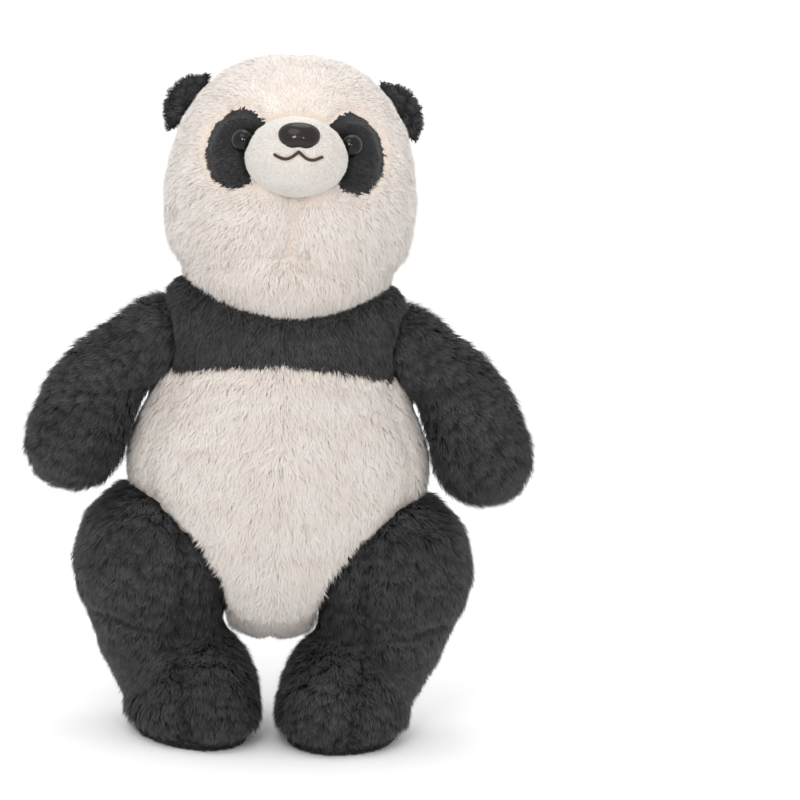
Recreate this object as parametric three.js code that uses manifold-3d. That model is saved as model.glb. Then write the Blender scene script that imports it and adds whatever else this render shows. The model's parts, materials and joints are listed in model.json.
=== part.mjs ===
// Long-pile plush panda standing on its two feet, in millimetres.
// +Z is up, the face looks along -Y, the toy's own left side is +X, and the soles lie on Z = 0.
import * as THREE from 'three';
import { mergeVertices } from 'three/addons/utils/BufferGeometryUtils.js';
import Module from 'manifold-3d';

const wasm = await Module();
wasm.setup();

// Fabric and clearances
const PILE = 6; // fur fabric, backing and pile together
const SHORT_PILE = 3.5; // smooth fabric of the muzzle
const SEAM_GAP = 0.3; // between two panels sewn edge to edge
const FIT_GAP = 0.4; // between a lining and what fills it
const TURN_GAP = 1.5; // between a rounded limb root and the hollow it turns in

// Head
const HEAD_TOP_Z = 411;
const HEAD_CHEEK_Z = 277; // underside of the cheek roll
const HEAD_HALF_WIDTH = 77;
const HEAD_HALF_DEPTH = 73;
const FACE_PITCH = 15; // the face looks up by this many degrees
const NECK_Z = 300; // centre of the rounded underside of the head
const NECK_RADIUS = 69;
const COLLAR_BOTTOM_Z = 243;
const COLLAR_TOP_Z = 288;
const NECK_WAD_RADIUS = 26;
const NECK_WAD_BOTTOM_Z = 205;

// Muzzle, nose and mouth
const MUZZLE_Z = 346;
const MUZZLE_Y = -66;
const MUZZLE_HALF_WIDTH = 31;
const MUZZLE_HALF_HEIGHT = 24;
const MUZZLE_HALF_DEPTH = 33;
const NOSE_WIDTH = 23;
const NOSE_HEIGHT = 16;
const NOSE_DEPTH = 11;
const NOSE_LIFT = 6; // nose centre above the muzzle centre
const NOSE_PITCH = 28; // the nose looks up by this many degrees
const NOSE_STEM = 20;
const NOSE_PROUD = 1.5; // seat of the nose in front of the muzzle fabric
const STEM_RADIUS = 2.2;
const WASHER_RADIUS = 7.5;
const WASHER_THICKNESS = 1.4;
const WASHER_DEPTH = 14; // behind the seat of the button
const THREAD_RADIUS = 0.9;
const SMILE_HALF_WIDTH = 15;
const SMILE_DROP = 4.2; // below the muzzle centre

// Eyes and their patches
const EYE_RADIUS = 6.3;
const EYE_X = 28;
const EYE_Z = 355.5;
const EYE_STEM = 18;
const EYE_PROUD = 3.2; // centre of the eye ball in front of the head fur
const PATCH_X = 36;
const PATCH_Z = 352;
const PATCH_HALF_WIDTH = 17;
const PATCH_HALF_HEIGHT = 22;
const PATCH_LEAN = 14; // degrees, lower end outward
const PATCH_PILE = 4;

// Ears
const EAR_RADIUS = 25;
const EAR_STAND = 15.5; // height of the ear over the head
const EAR_HALF_THICKNESS = 8;
const EAR_ANGLE = 34; // degrees above the horizontal
const EAR_Y = 14;

// Torso
const TORSO_TOP_Z = 288;
const TORSO_BOTTOM_Z = 56;
const TORSO_HALF_WIDTH = 90;
const TORSO_HALF_DEPTH = 62;
const YOKE_Z = 229; // seam between chest and belly on the centre line
const YOKE_DROP = 19; // how far that seam falls towards the sides
const SIDE_SEAM_Y = -30;
const HIP_FORWARD = 58; // degrees the legs swing forward
const HIP_BACKWARD = 15;

// Arms
const SHOULDER_RADIUS = 27;
const SHOULDER_INSIDE = 20; // from the widest line of the torso in to the shoulder
const SHOULDER_X = TORSO_HALF_WIDTH - SHOULDER_INSIDE;
const SHOULDER_Y = 2;
const SHOULDER_DROP = 1.4 * SHOULDER_RADIUS + 31.2; // a thicker arm sits lower, clear of the head
const SHOULDER_Z = NECK_Z - SHOULDER_DROP;
const UPPER_ARM_RADIUS = 25.5;
const FOREARM_RADIUS = 29.5;
const SHOULDER_WAD_RADIUS = 8.5;
const SHOULDER_WAD_LENGTH = 9;
const ARM_SPREAD = 51.5; // from shoulder out to paw
const ARM_DROP = 55.5; // from shoulder down to paw
const PAW_X = SHOULDER_X + ARM_SPREAD;
const PAW_Y = -12;
const PAW_Z = SHOULDER_Z - ARM_DROP;
const PAW_RADIUS = 31.5;
const ARM_FORWARD = 35; // degrees the arms swing forward
const ARM_BACKWARD = 25;
const ARM_LIFT = 40; // degrees the arms lift sideways

// Legs and feet
const HIP_INSIDE = 16; // from the widest line of the torso in to the hip
const HIP_X = TORSO_HALF_WIDTH - HIP_INSIDE;
const HIP_Y = -4;
const HIP_Z = 105;
const HIP_RADIUS = 44;
const ANKLE_X = HIP_X - 13;
const ANKLE_RADIUS = 32;
const FOOT_X = HIP_X - 28.5;
const FOOT_Y = -18;
const FOOT_HALF_WIDTH = 39;
const FOOT_HALF_LENGTH = 51;
const FOOT_HEIGHT = 70;
const TOE_IN = 24; // degrees
const SOLE_THICKNESS = 5;

const WHITE_FUR = new THREE.MeshStandardMaterial({ color: 0xe2d9d1, roughness: 0.95, metalness: 0 });
const BLACK_FUR = new THREE.MeshStandardMaterial({ color: 0x3b3a3d, roughness: 0.95, metalness: 0 });
const MUZZLE_CLOTH = new THREE.MeshStandardMaterial({ color: 0xe8e2da, roughness: 0.9, metalness: 0 });
const FIBREFILL = new THREE.MeshStandardMaterial({ color: 0xf1efea, roughness: 1, metalness: 0 });
const NOSE_PLASTIC = new THREE.MeshStandardMaterial({ color: 0x241a17, roughness: 0.2, metalness: 0 });
const EYE_PLASTIC = new THREE.MeshStandardMaterial({ color: 0x0b0a0b, roughness: 0.08, metalness: 0 });
const WASHER_PLASTIC = new THREE.MeshStandardMaterial({ color: 0xd8d8d4, roughness: 0.5, metalness: 0 });
const THREAD = new THREE.MeshStandardMaterial({ color: 0x4a3630, roughness: 0.8, metalness: 0 });

const X_AXIS = new THREE.Vector3(1, 0, 0);
const Y_AXIS = new THREE.Vector3(0, 1, 0);
const Z_AXIS = new THREE.Vector3(0, 0, 1);

const degrees = (value) => THREE.MathUtils.degToRad(value);

// Closed geometry to a solid for the boolean library.
function solid(geometry) {
  const bare = geometry.clone();
  bare.deleteAttribute('normal');
  bare.deleteAttribute('uv');
  const welded = mergeVertices(bare, 1e-4);
  return new wasm.Manifold(new wasm.Mesh({
    numProp: 3,
    vertProperties: Float32Array.from(welded.attributes.position.array),
    triVerts: Uint32Array.from(welded.index.array),
  }));
}

function geometryOf(body) {
  const mesh = body.getMesh();
  const geometry = new THREE.BufferGeometry();
  geometry.setAttribute('position', new THREE.BufferAttribute(Float32Array.from(mesh.vertProperties), 3));
  geometry.setIndex(new THREE.BufferAttribute(Uint32Array.from(mesh.triVerts), 1));
  return geometry;
}

function mirrored(geometry) {
  const other = geometry.clone();
  other.scale(-1, 1, 1);
  const index = other.index.array;
  for (let i = 0; i < index.length; i += 3) {
    [index[i + 1], index[i + 2]] = [index[i + 2], index[i + 1]];
  }
  return other;
}

// A rounded solid through a row of elliptical rings, the first and last closed to a point.
function ringed(rings, columns) {
  const geometry = new THREE.SphereGeometry(1, columns, rings.length - 1);
  const position = geometry.attributes.position;
  rings.forEach((ring, row) => {
    for (let column = 0; column <= columns; column += 1) {
      const angle = ((column % columns) / columns) * 2 * Math.PI;
      const point = ring.centre.clone();
      point.addScaledVector(ring.across, ring.width * Math.cos(angle));
      point.addScaledVector(ring.along, ring.depth * Math.sin(angle));
      position.setXYZ(row * (columns + 1) + column, point.x, point.y, point.z);
    }
  });
  return geometry;
}

// Level rings from the top down. Each profile row: [height 0..1, width share, depth share, shift in Y].
function stacked(profile, size, inset, columns) {
  const middle = (size.top + size.bottom) / 2;
  const half = (size.top - size.bottom) / 2;
  const rings = profile.map(([height, width, depth, shift]) => ({
    centre: new THREE.Vector3(0, shift, middle + (2 * height - 1) * (half - inset)),
    across: X_AXIS,
    along: Y_AXIS,
    width: width === 0 ? 0 : width * size.width - inset,
    depth: depth === 0 ? 0 : depth * size.depth - inset,
  }));
  return ringed(rings, columns);
}

// A stuffed limb along a curve: ball-shaped root, thickness running through the given radii, round tip.
function limb(points, radii, inset, columns, steps, flatness) {
  const curve = new THREE.CatmullRomCurve3(points);
  const thickness = new THREE.SplineCurve(radii.map((radius, i) => new THREE.Vector2(i, radius)));
  const rings = [];
  const ringAt = (centre, tangent, radius, depth) => {
    const along = Y_AXIS.clone().addScaledVector(tangent, -tangent.y).normalize();
    const across = along.clone().cross(tangent).negate();
    rings.push({ centre, across, along, width: radius, depth: radius * depth });
  };
  const capSteps = 3;
  const root = curve.getPoint(0);
  const rootTangent = curve.getTangent(0);
  const rootRadius = radii[0] - inset;
  for (let i = 0; i < capSteps; i += 1) {
    const turn = (i / capSteps) * Math.PI / 2;
    const centre = root.clone().addScaledVector(rootTangent, -rootRadius * Math.cos(turn));
    ringAt(centre, rootTangent, rootRadius * Math.sin(turn), 1);
  }
  for (let i = 0; i <= steps; i += 1) {
    const t = i / steps;
    const depth = 1 - (1 - flatness) * Math.min(1, 2 * t);
    ringAt(curve.getPoint(t), curve.getTangent(t), thickness.getPoint(t).y - inset, depth);
  }
  const tip = curve.getPoint(1);
  const tipTangent = curve.getTangent(1);
  const tipRadius = radii[radii.length - 1] - inset;
  for (let i = 1; i <= capSteps; i += 1) {
    const turn = (i / capSteps) * Math.PI / 2;
    const centre = tip.clone().addScaledVector(tipTangent, tipRadius * Math.sin(turn));
    ringAt(centre, tipTangent, i === capSteps ? 0 : tipRadius * Math.cos(turn), flatness);
  }
  return ringed(rings, columns);
}

function ball(x, y, z, radius, columns = 36) {
  const geometry = new THREE.SphereGeometry(radius, columns, columns / 2);
  geometry.rotateX(Math.PI / 2);
  geometry.translate(x, y, z);
  return solid(geometry);
}

function block(minX, maxX, minY, maxY, minZ, maxZ) {
  const geometry = new THREE.BoxGeometry(maxX - minX, maxY - minY, maxZ - minZ);
  geometry.translate((minX + maxX) / 2, (minY + maxY) / 2, (minZ + maxZ) / 2);
  return geometry;
}

// A drum along `axis` from `from` to `to`.
function drum(from, to, radius, columns = 14) {
  const direction = to.clone().sub(from);
  const geometry = new THREE.CylinderGeometry(radius, radius, direction.length(), columns);
  const turn = new THREE.Quaternion().setFromUnitVectors(Y_AXIS, direction.clone().normalize());
  geometry.applyQuaternion(turn);
  const middle = from.clone().add(to).multiplyScalar(0.5);
  geometry.translate(middle.x, middle.y, middle.z);
  return solid(geometry);
}

const FAR = 400;
const HALF_GAP = SEAM_GAP / 2;
const LEFT_OF_CENTRE = solid(block(HALF_GAP, FAR, -FAR, FAR, -FAR, 2 * FAR));
const RIGHT_OF_CENTRE = solid(block(-FAR, -HALF_GAP, -FAR, FAR, -FAR, 2 * FAR));

// ---------------------------------------------------------------- head
const CRANIUM = [
  [1, 0, 0, 0], [0.965, 0.37, 0.39, 0], [0.9, 0.59, 0.61, 0], [0.8, 0.765, 0.79, 0],
  [0.68, 0.895, 0.91, 0], [0.54, 0.975, 0.98, 0], [0.39, 1, 1, 0], [0.25, 0.985, 0.985, 0],
  [0.13, 0.955, 0.965, 0], [0.05, 0.9, 0.92, 0], [0.01, 0.72, 0.74, 0], [0, 0, 0, 0],
];

function headSolid(inset, columns) {
  const size = { top: HEAD_TOP_Z, bottom: HEAD_CHEEK_Z, width: HEAD_HALF_WIDTH, depth: HEAD_HALF_DEPTH };
  return solid(stacked(CRANIUM, size, inset, columns));
}

const neckBall = (inset) => ball(0, 0, NECK_Z, NECK_RADIUS - inset, 28);

const headFur = headSolid(0, 22);
const headOver = headSolid(-SEAM_GAP, 22);
const headLining = headSolid(PILE, 14);
const headFilling = headSolid(PILE + FIT_GAP, 14);
const neckLining = ball(0, 0, NECK_Z, NECK_RADIUS - PILE, 18);
const neckFilling = ball(0, 0, NECK_Z, NECK_RADIUS - PILE - FIT_GAP, 18);

// A point on the head fur in front view, pushed `proud` outward along its own normal.
function onFace(x, z, proud) {
  const middle = HEAD_CHEEK_Z + 0.42 * (HEAD_TOP_Z - HEAD_CHEEK_Z);
  const share = 1 - (x / HEAD_HALF_WIDTH) ** 2 - ((z - middle) / (HEAD_TOP_Z - middle)) ** 2;
  const y = -HEAD_HALF_DEPTH * Math.sqrt(share);
  const out = new THREE.Vector3(
    x / HEAD_HALF_WIDTH ** 2, y / HEAD_HALF_DEPTH ** 2, (z - middle) / (HEAD_TOP_Z - middle) ** 2,
  ).normalize();
  return { point: new THREE.Vector3(x, y, z).addScaledVector(out, proud), out };
}

// ---------------------------------------------------------------- muzzle and nose
function muzzleSolid(inset, columns) {
  const geometry = new THREE.SphereGeometry(1, columns, columns / 2);
  geometry.rotateX(Math.PI / 2);
  geometry.scale(MUZZLE_HALF_WIDTH - inset, MUZZLE_HALF_DEPTH - inset, MUZZLE_HALF_HEIGHT - inset);
  geometry.rotateX(-degrees(FACE_PITCH));
  geometry.translate(0, MUZZLE_Y, MUZZLE_Z);
  return solid(geometry);
}

function onMuzzle(x, lift, proud) {
  const share = 1 - (x / MUZZLE_HALF_WIDTH) ** 2 - (lift / MUZZLE_HALF_HEIGHT) ** 2;
  const y = -MUZZLE_HALF_DEPTH * Math.sqrt(share);
  const out = new THREE.Vector3(
    x / MUZZLE_HALF_WIDTH ** 2, y / MUZZLE_HALF_DEPTH ** 2, lift / MUZZLE_HALF_HEIGHT ** 2,
  ).normalize();
  const point = new THREE.Vector3(x, y, lift).addScaledVector(out, proud);
  point.applyAxisAngle(X_AXIS, -degrees(FACE_PITCH));
  out.applyAxisAngle(X_AXIS, -degrees(FACE_PITCH));
  point.add(new THREE.Vector3(0, MUZZLE_Y, MUZZLE_Z));
  return { point, out };
}

// A stemmed plastic button, turned about its stem: domed front, stem behind.
function button(width, height, depth, stemLength, swell) {
  const rim = width / 2;
  const foot = -stemLength - swell;
  const profile = [new THREE.Vector2(0, foot), new THREE.Vector2(STEM_RADIUS + swell, foot)];
  profile.push(new THREE.Vector2(STEM_RADIUS + swell, -depth * 0.45 - swell));
  const steps = 5;
  for (let i = 0; i <= steps; i += 1) {
    const turn = -0.3 * Math.PI + (i / steps) * 0.8 * Math.PI;
    const out = i === steps ? 0 : (rim + swell) * Math.cos(turn);
    const behind = turn < 0;
    const rise = depth * Math.sin(turn) * (behind ? 0.5 : 1) + (behind ? -swell : swell);
    profile.push(new THREE.Vector2(out, rise));
  }
  const geometry = new THREE.LatheGeometry(profile, 14);
  geometry.scale(1, 1, height / width);
  return geometry;
}

function washer() {
  const bore = STEM_RADIUS + FIT_GAP;
  const outline = [
    new THREE.Vector2(bore, 0), new THREE.Vector2(WASHER_RADIUS, 0),
    new THREE.Vector2(WASHER_RADIUS, WASHER_THICKNESS), new THREE.Vector2(bore, WASHER_THICKNESS),
    new THREE.Vector2(bore, 0),
  ];
  return new THREE.LatheGeometry(outline, 10);
}

// Turns a piece built along +Y so that it looks along `out` with its height upright, and moves it.
function seated(geometry, point, out) {
  const side = Z_AXIS.clone().cross(out).normalize();
  const placed = geometry.clone();
  placed.applyMatrix4(new THREE.Matrix4().makeBasis(side, out, side.clone().cross(out)));
  placed.translate(point.x, point.y, point.z);
  return placed;
}

const muzzleFur = muzzleSolid(0, 20);
const muzzleOver = muzzleSolid(-SEAM_GAP, 20);
const muzzleLining = muzzleSolid(SHORT_PILE, 14);
const muzzleFilling = muzzleSolid(SHORT_PILE + FIT_GAP, 14);

const noseSeat = {
  point: onMuzzle(0, NOSE_LIFT, NOSE_PROUD).point,
  out: new THREE.Vector3(0, -Math.cos(degrees(NOSE_PITCH)), Math.sin(degrees(NOSE_PITCH))),
};
const noseButton = button(NOSE_WIDTH, NOSE_HEIGHT, NOSE_DEPTH / 2, NOSE_STEM, 0);
const nose = seated(noseButton, noseSeat.point, noseSeat.out);
const noseOver = solid(seated(
  button(NOSE_WIDTH, NOSE_HEIGHT, NOSE_DEPTH / 2, NOSE_STEM, FIT_GAP), noseSeat.point, noseSeat.out,
));
const noseWasherPoint = noseSeat.point.clone().addScaledVector(noseSeat.out, -WASHER_DEPTH);
const noseWasher = seated(washer(), noseWasherPoint, noseSeat.out);
const POCKET_RADIUS = WASHER_RADIUS * 1.1 + FIT_GAP;
const nosePocket = drum(
  noseSeat.point.clone().addScaledVector(noseSeat.out, -NOSE_STEM - 1),
  noseSeat.point.clone().addScaledVector(noseSeat.out, NOSE_DEPTH),
  POCKET_RADIUS,
  8,
);

// ---------------------------------------------------------------- eyes and patches, built for the left side
const eyeSeat = onFace(EYE_X, EYE_Z, EYE_PROUD);
const eyeButton = button(2 * EYE_RADIUS, 2 * EYE_RADIUS, EYE_RADIUS, EYE_STEM, 0);
const eye = seated(eyeButton, eyeSeat.point, eyeSeat.out);
const eyeOverGeometry = seated(
  button(2 * EYE_RADIUS, 2 * EYE_RADIUS, EYE_RADIUS, EYE_STEM, FIT_GAP), eyeSeat.point, eyeSeat.out,
);
const eyeWasherPoint = eyeSeat.point.clone().addScaledVector(eyeSeat.out, -WASHER_DEPTH - WASHER_THICKNESS);
const eyeWasher = seated(washer(), eyeWasherPoint, eyeSeat.out);
const eyeOver = solid(eyeOverGeometry);
const eyeOverRight = solid(mirrored(eyeOverGeometry));
const pocketBack = eyeSeat.point.clone().addScaledVector(eyeSeat.out, -EYE_STEM - 1);
const pocketFront = eyeSeat.point.clone().addScaledVector(eyeSeat.out, EYE_RADIUS);
const flip = (point) => new THREE.Vector3(-point.x, point.y, point.z);
const eyePockets = drum(pocketBack, pocketFront, POCKET_RADIUS, 8)
  .add(drum(flip(pocketBack), flip(pocketFront), POCKET_RADIUS, 8));

function patch() {
  const outline = new THREE.Shape();
  outline.absellipse(0, 0, PATCH_HALF_WIDTH, PATCH_HALF_HEIGHT, 0, 2 * Math.PI);
  const prism = new THREE.ExtrudeGeometry(outline, { depth: 60, bevelEnabled: false, curveSegments: 9 });
  prism.rotateX(Math.PI / 2);
  prism.rotateY(-degrees(PATCH_LEAN));
  prism.translate(PATCH_X, -30, PATCH_Z);
  return solid(prism)
    .intersect(headSolid(-PATCH_PILE, 22))
    .subtract(headOver)
    .subtract(muzzleOver)
    .subtract(eyeOver);
}

// ---------------------------------------------------------------- ears, built for the left side
const earOut = new THREE.Vector3(Math.cos(degrees(EAR_ANGLE)), 0, Math.sin(degrees(EAR_ANGLE)));
const earChord = new THREE.Vector3(-earOut.z, 0, earOut.x);
const earSeat = (() => {
  const middle = HEAD_CHEEK_Z + 0.42 * (HEAD_TOP_Z - HEAD_CHEEK_Z);
  const squeeze = Math.sqrt(1 - (EAR_Y / HEAD_HALF_DEPTH) ** 2);
  const reach = 1 / Math.hypot(earOut.x / HEAD_HALF_WIDTH, earOut.z / (HEAD_TOP_Z - middle));
  return new THREE.Vector3(earOut.x * reach * squeeze, EAR_Y, middle + earOut.z * reach * squeeze);
})();

function earSolid(swell) {
  const sunk = EAR_RADIUS - EAR_STAND; // the round of the ear reaches this far under the hinge line
  const share = Math.sqrt(1 - (sunk / EAR_RADIUS) ** 2);
  const disc = new THREE.SphereGeometry(1, 14, 8);
  disc.scale(EAR_RADIUS + swell, EAR_HALF_THICKNESS + swell, EAR_RADIUS + swell);
  disc.translate(0, 0, -sunk);
  const root = new THREE.SphereGeometry(1, 10, 8);
  root.rotateZ(Math.PI / 2);
  const rootThickness = EAR_HALF_THICKNESS * share + swell;
  root.scale(EAR_RADIUS * share + swell, rootThickness, rootThickness);
  const above = block(-FAR, FAR, -FAR, FAR, 0, FAR);
  return solid(disc).intersect(solid(above)).add(solid(root));
}

function placedEar(body) {
  const geometry = geometryOf(body);
  geometry.applyMatrix4(new THREE.Matrix4().makeBasis(earChord, Y_AXIS.clone().negate(), earOut));
  geometry.translate(earSeat.x, earSeat.y, earSeat.z);
  return geometry;
}

const earFront = placedEar(earSolid(0).intersect(solid(block(-FAR, FAR, HALF_GAP, FAR, -FAR, FAR))));
const earBack = placedEar(earSolid(0).intersect(solid(block(-FAR, FAR, -FAR, -HALF_GAP, -FAR, FAR))));
const earHollowGeometry = placedEar(earSolid(TURN_GAP));
const earHollows = solid(earHollowGeometry).add(solid(mirrored(earHollowGeometry)));

// ---------------------------------------------------------------- head panels
const eyeHoles = eyeOver.add(eyeOverRight);
const collarCut = neckBall(-FIT_GAP);
const headSkin = headFur
  .subtract(headLining)
  .subtract(collarCut)
  .subtract(eyeHoles)
  .subtract(earHollows);
const headFront = solid(block(-FAR, FAR, -FAR, EAR_Y - HALF_GAP, -FAR, 2 * FAR));
const headRear = solid(block(-FAR, FAR, EAR_Y + HALF_GAP, FAR, -FAR, 2 * FAR));
function collarZone(swell) {
  return solid(block(-FAR, FAR, -FAR, FAR, COLLAR_BOTTOM_Z - swell, COLLAR_TOP_Z + swell));
}
const collar = neckBall(0).subtract(neckLining).intersect(collarZone(0));
const collarRoom = neckBall(-FIT_GAP).subtract(neckFilling).intersect(collarZone(FIT_GAP));
const headStuffing = headFilling
  .add(neckFilling)
  .subtract(collarRoom)
  .subtract(eyePockets)
  .subtract(earHollows);

// ---------------------------------------------------------------- torso
const TRUNK = [
  [1, 0, 0, 0], [0.97, 0.62, 0.62, 0], [0.93, 0.8, 0.8, 0], [0.88, 0.855, 0.88, 0],
  [0.82, 0.83, 0.92, 0], [0.74, 0.8, 0.94, 0], [0.66, 0.81, 0.96, 0], [0.59, 0.88, 0.98, 0],
  [0.5, 0.975, 1, 0], [0.4, 1, 1, 0], [0.29, 0.95, 0.94, 0], [0.18, 0.81, 0.84, 0],
  [0.09, 0.56, 0.68, 0], [0.035, 0.29, 0.45, 0], [0, 0, 0, 0],
];

function torsoSolid(inset, columns) {
  const size = { top: TORSO_TOP_Z, bottom: TORSO_BOTTOM_Z, width: TORSO_HALF_WIDTH, depth: TORSO_HALF_DEPTH };
  return solid(stacked(TRUNK, size, inset, columns));
}

function mirroredBall(x, y, z, radius, columns) {
  return ball(x, y, z, radius, columns).add(ball(-x, y, z, radius, columns));
}
const neckHollow = neckBall(-TURN_GAP);
const shoulderHollows = mirroredBall(SHOULDER_X, SHOULDER_Y, SHOULDER_Z, SHOULDER_RADIUS + TURN_GAP, 18);
const hipHollows = mirroredBall(HIP_X, HIP_Y, HIP_Z, HIP_RADIUS + TURN_GAP, 22);

// The part of space under the curved seam between chest and belly.
function underYoke(drop) {
  const outline = new THREE.Shape();
  const reach = TORSO_HALF_WIDTH * 1.3;
  outline.moveTo(-reach, 0);
  outline.lineTo(-reach, YOKE_Z - YOKE_DROP * 1.6 - drop);
  outline.quadraticCurveTo(0, YOKE_Z + YOKE_DROP * 1.6 - drop, reach, YOKE_Z - YOKE_DROP * 1.6 - drop);
  outline.lineTo(reach, 0);
  outline.closePath();
  const settings = { depth: 2 * FAR, bevelEnabled: false, curveSegments: 8 };
  const geometry = new THREE.ExtrudeGeometry(outline, settings);
  geometry.rotateX(Math.PI / 2);
  geometry.translate(0, FAR, 0);
  return solid(geometry);
}

// ---------------------------------------------------------------- leg tube, built for the left side
const LEG_LINE = [
  new THREE.Vector3(HIP_X, HIP_Y, HIP_Z),
  new THREE.Vector3(HIP_X, HIP_Y, HIP_Z - 0.3 * (HIP_Z - ANKLE_RADIUS)),
  new THREE.Vector3((HIP_X + ANKLE_X) / 2, HIP_Y + 1, HIP_Z - 0.65 * (HIP_Z - ANKLE_RADIUS)),
  new THREE.Vector3(ANKLE_X, HIP_Y + 3, ANKLE_RADIUS + 6),
];
const LEG_RADII = [HIP_RADIUS, HIP_RADIUS - 1, (HIP_RADIUS + ANKLE_RADIUS) / 2, ANKLE_RADIUS];

const legTube = (inset, columns, steps) => limb(LEG_LINE, LEG_RADII, inset, columns, steps, 0.97);
const legSolid = (inset, columns, steps) => solid(legTube(inset, columns, steps));

// Everything the left leg passes through while it swings about the hip.
function legSweep(swell, columns) {
  const swung = (turn) => {
    const tube = legTube(-swell, columns, 3);
    tube.translate(0, -HIP_Y, -HIP_Z);
    tube.rotateX(-degrees(turn));
    tube.translate(0, HIP_Y, HIP_Z);
    return solid(tube);
  };
  const reach = HIP_Z * 1.3;
  const sector = new THREE.Shape();
  sector.moveTo(0, 0);
  const steps = 6;
  for (let i = 0; i <= steps; i += 1) {
    const turn = degrees(-HIP_BACKWARD + (i / steps) * (HIP_FORWARD + HIP_BACKWARD));
    sector.lineTo(reach * Math.cos(turn), -reach * Math.sin(turn));
  }
  sector.closePath();
  const width = 2 * (HIP_RADIUS + swell);
  const slab = new THREE.ExtrudeGeometry(sector, { depth: width, bevelEnabled: false });
  slab.rotateY(Math.PI / 2);
  slab.translate(HIP_X - width / 2, HIP_Y, HIP_Z);
  return solid(slab).add(swung(HIP_FORWARD)).add(swung(-HIP_BACKWARD));
}

// ---------------------------------------------------------------- arm tube, built for the left side
// A point along the arm: shares of the way out, forward and down from shoulder to paw.
const armPoint = (out, forward, down) => new THREE.Vector3(
  SHOULDER_X + out * (PAW_X - SHOULDER_X),
  SHOULDER_Y + forward * (PAW_Y - SHOULDER_Y),
  SHOULDER_Z + down * (PAW_Z - SHOULDER_Z),
);
const ARM_LINE = [armPoint(0, 0, 0), armPoint(0.42, 0.2, 0.1), armPoint(0.79, 0.6, 0.48), armPoint(1, 1, 1)];
const ARM_RADII = [SHOULDER_RADIUS, UPPER_ARM_RADIUS, FOREARM_RADIUS, PAW_RADIUS];

const armTube = (inset, columns, steps) => limb(ARM_LINE, ARM_RADII, inset, columns, steps, 0.94);

// What the left arm fills at the far ends of its swing and lift.
function armSweep(swell) {
  const turned = (swing, lift) => {
    const tube = armTube(-swell, 14, 4);
    tube.translate(-SHOULDER_X, -SHOULDER_Y, -SHOULDER_Z);
    tube.rotateY(-degrees(lift));
    tube.rotateX(degrees(swing));
    tube.translate(SHOULDER_X, SHOULDER_Y, SHOULDER_Z);
    return solid(tube);
  };
  return [-ARM_FORWARD, 0, ARM_BACKWARD]
    .flatMap((swing) => [turned(swing, ARM_LIFT / 2), turned(swing, ARM_LIFT)])
    .reduce((room, body) => room.add(body));
}

const bothSides = (body) => body.add(solid(mirrored(geometryOf(body))));
const legRoom = bothSides(legSweep(TURN_GAP, 20));
const armRoom = bothSides(armSweep(TURN_GAP));
const COARSE = 2.5; // the filling stands this much further back from the limbs than the fabric
const neckRoom = ball(0, 0, NECK_Z, NECK_RADIUS + COARSE, 18);
const fillingRoom = neckRoom
  .add(mirroredBall(SHOULDER_X, SHOULDER_Y, SHOULDER_Z, SHOULDER_RADIUS + COARSE, 12))
  .add(mirroredBall(HIP_X, HIP_Y, HIP_Z, HIP_RADIUS + COARSE, 14))
  .add(bothSides(legSweep(COARSE, 12)));

const torsoSkin = torsoSolid(0, 22)
  .subtract(torsoSolid(PILE, 14))
  .subtract(neckHollow)
  .subtract(shoulderHollows)
  .subtract(hipHollows)
  .subtract(armRoom)
  .subtract(legRoom);
const lower = torsoSkin.intersect(underYoke(HALF_GAP));
const upper = torsoSkin.subtract(underYoke(-HALF_GAP));
const beforeSeam = solid(block(-FAR, FAR, -FAR, SIDE_SEAM_Y - HALF_GAP, -FAR, 2 * FAR));
const behindSeam = solid(block(-FAR, FAR, SIDE_SEAM_Y + HALF_GAP, FAR, -FAR, 2 * FAR));
const beforeShoulder = solid(block(-FAR, FAR, -FAR, SHOULDER_Y - HALF_GAP, -FAR, 2 * FAR));
const behindShoulder = solid(block(-FAR, FAR, SHOULDER_Y + HALF_GAP, FAR, -FAR, 2 * FAR));

function neckPlug(swell) {
  const from = new THREE.Vector3(0, 0, NECK_WAD_BOTTOM_Z - swell);
  return drum(from, new THREE.Vector3(0, 0, NECK_Z), NECK_WAD_RADIUS + swell);
}

function shoulderPlug(side, swell) {
  const inner = SHOULDER_X - SHOULDER_RADIUS - FIT_GAP - SHOULDER_WAD_LENGTH - swell;
  const from = new THREE.Vector3(side * inner, SHOULDER_Y, SHOULDER_Z);
  const to = new THREE.Vector3(side * SHOULDER_X, SHOULDER_Y, SHOULDER_Z);
  return drum(from, to, SHOULDER_WAD_RADIUS + swell);
}

const torsoStuffing = torsoSolid(PILE + FIT_GAP, 14)
  .subtract(fillingRoom)
  .subtract(neckPlug(TURN_GAP))
  .subtract(shoulderPlug(1, FIT_GAP))
  .subtract(shoulderPlug(-1, FIT_GAP));

// ---------------------------------------------------------------- arms, built for the left side
const armSkin = solid(armTube(0, 18, 4)).subtract(solid(armTube(PILE, 12, 3)));
const armSeamTilt = Math.atan2(SHOULDER_Y - PAW_Y, Math.hypot(PAW_X - SHOULDER_X, SHOULDER_Z - PAW_Z));

function armSide(sign) {
  const half = block(-FAR, FAR, sign > 0 ? HALF_GAP : -FAR, sign > 0 ? FAR : -HALF_GAP, -FAR, FAR);
  half.rotateZ(-armSeamTilt);
  half.translate(SHOULDER_X, SHOULDER_Y, SHOULDER_Z);
  return solid(half);
}

const armFront = geometryOf(armSkin.intersect(armSide(-1)));
const armBack = geometryOf(armSkin.intersect(armSide(1)));
const armStuffing = armTube(PILE + FIT_GAP, 12, 3);

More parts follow.
